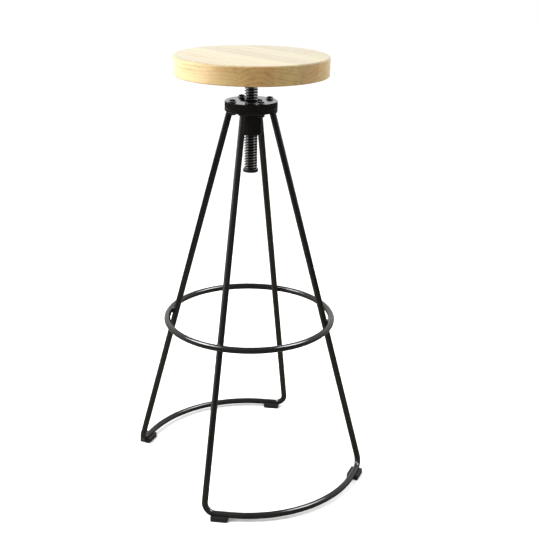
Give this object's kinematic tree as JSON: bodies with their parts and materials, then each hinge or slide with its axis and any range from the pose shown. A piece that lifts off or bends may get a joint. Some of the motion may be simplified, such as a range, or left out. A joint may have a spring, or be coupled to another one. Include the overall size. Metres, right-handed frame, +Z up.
{
  "type": "swivel bar stool",
  "caption": "Tall backless stool: round board seat on a lift screw that turns in a nut, over a splayed rod frame with a foot ring and saddle feet.",
  "frame": {"origin": "on the floor, under the middle of the seat", "axes": "+Z up along the lift screw; -Y to the front, and each U-shaped leg frame is centred on the Y axis"},
  "size_m": [0.3558, 0.4579, 0.8187],
  "materials": {
    "seat_wood": "pale glued hardwood boards under a clear satin lacquer",
    "frame_paint": "semi-gloss black paint on steel",
    "screw_steel": "blackened steel, lightly greased",
    "black_fastener": "bright black-plated steel",
    "zinc_fastener": "zinc plated",
    "foot_rubber": "matte black moulded rubber"
  },
  "bodies": {
    "frame": {"front_leg_frame": "frame_paint", "rear_leg_frame": "frame_paint", "leg_plate": "frame_paint", "hub_plate": "frame_paint", "hub_bolts": "black_fastener", "hub_washers": "black_fastener", "hub_nuts": "black_fastener", "sleeve": "frame_paint", "lift_nut": "screw_steel", "foot_ring": "frame_paint", "ring_lugs": "frame_paint", "foot_front_left": "foot_rubber", "foot_front_right": "foot_rubber", "foot_rear_right": "foot_rubber", "foot_rear_left": "foot_rubber"},
    "stop": {"stop_washer": "screw_steel"},
    "seat": {"lift_screw": "screw_steel", "stop_screw": "black_fastener", "seat_plate": "frame_paint", "seat_screws": "zinc_fastener", "seat_board_1": "seat_wood", "seat_board_2": "seat_wood", "seat_board_3": "seat_wood", "seat_board_4": "seat_wood", "seat_board_5": "seat_wood", "seat_board_6": "seat_wood", "seat_board_7": "seat_wood"}
  },
  "joints": [
    {"name": "seat_lift", "type": "slide", "parent": "frame", "child": "stop", "axis": [0, 0, 1], "range_m": [-0.035, 0.0625]},
    {"name": "seat_turn", "type": "hinge", "parent": "stop", "child": "seat", "pos_m": [0, 0, 0.7], "axis": [0, 0, 1], "range_deg": [-2520, 4500]}
  ],
  "couplings": [
    {"joint": "seat_lift", "follows": "seat_turn", "m_per_rad": 0.00079577}
  ]
}
